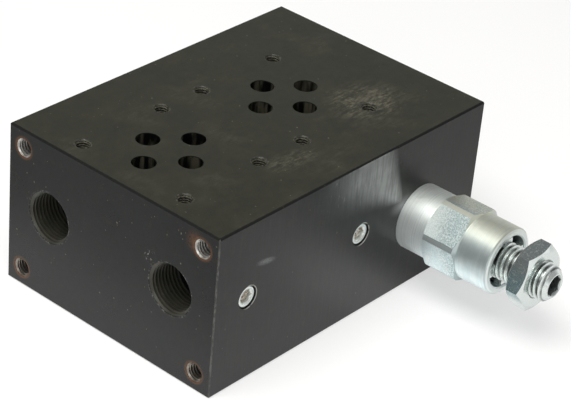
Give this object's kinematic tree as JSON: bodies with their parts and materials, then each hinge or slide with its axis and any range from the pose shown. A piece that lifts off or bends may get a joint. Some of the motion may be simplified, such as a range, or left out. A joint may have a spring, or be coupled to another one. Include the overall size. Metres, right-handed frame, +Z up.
{
  "type": "hydraulic relief valve plate",
  "caption": "Drilled steel hydraulic manifold block with valve stations on top, threaded ports and an adjustable screw-in pressure relief cartridge.",
  "frame": {"origin": "centre of the block's underside", "axes": "+Z up, from the underside to the valve face; X along the block, from the port end to the cartridge's end; the cartridge points to -Y"},
  "size_m": [0.12, 0.137, 0.054],
  "materials": {
    "black_steel": "milled steel with a thin black oxide finish",
    "zinc_steel": "turned steel with bright zinc plating",
    "hard_steel": "ground hardened steel",
    "spring_steel": "oiled spring wire",
    "seal_rubber": "moulded nitrile rubber",
    "backup_plastic": "machined PTFE"
  },
  "bodies": {
    "valve_plate": {"manifold_block": "black_steel", "cartridge_body": "zinc_steel", "valve_seat": "hard_steel", "slotted_bush": "zinc_steel", "shoulder_seal": "seal_rubber", "nose_seal": "seal_rubber", "nose_backup_outer": "backup_plastic", "nose_backup_inner": "backup_plastic", "front_plug_1": "zinc_steel", "front_plug_2": "zinc_steel", "back_plug_1": "zinc_steel", "back_plug_2": "zinc_steel", "pressure_spring": "spring_steel"},
    "poppet": {"poppet": "hard_steel", "spring_plate": "hard_steel"},
    "spring_button": {"spring_button": "hard_steel", "button_seal": "seal_rubber"},
    "adjusting_screw": {"adjusting_screw": "zinc_steel"},
    "lock_nut": {"lock_nut": "zinc_steel"}
  },
  "joints": [
    {"name": "poppet_lift", "type": "slide", "parent": "valve_plate", "child": "poppet", "axis": [0, -1, 0], "range_m": [0, 0.0015], "stiffness_N_per_m": 5000, "springref_m": -0.0005, "deforming": ["pressure_spring"]},
    {"name": "screw_advance", "type": "slide", "parent": "valve_plate", "child": "spring_button", "axis": [0, 1, 0], "range_m": [-0.00175, 0.00298], "deforming": ["pressure_spring"]},
    {"name": "screw_turn", "type": "hinge", "parent": "spring_button", "child": "adjusting_screw", "pos_m": [0.032, -0.0771, 0.024], "axis": [0, 1, 0], "range_deg": [-360, 612]},
    {"name": "nut_travel", "type": "slide", "parent": "valve_plate", "child": "lock_nut", "axis": [0, 1, 0], "range_m": [-0.0039, 0.0063]}
  ],
  "couplings": [
    {"joint": "screw_turn", "follows": "screw_advance", "rad_per_m": 3590.4}
  ]
}
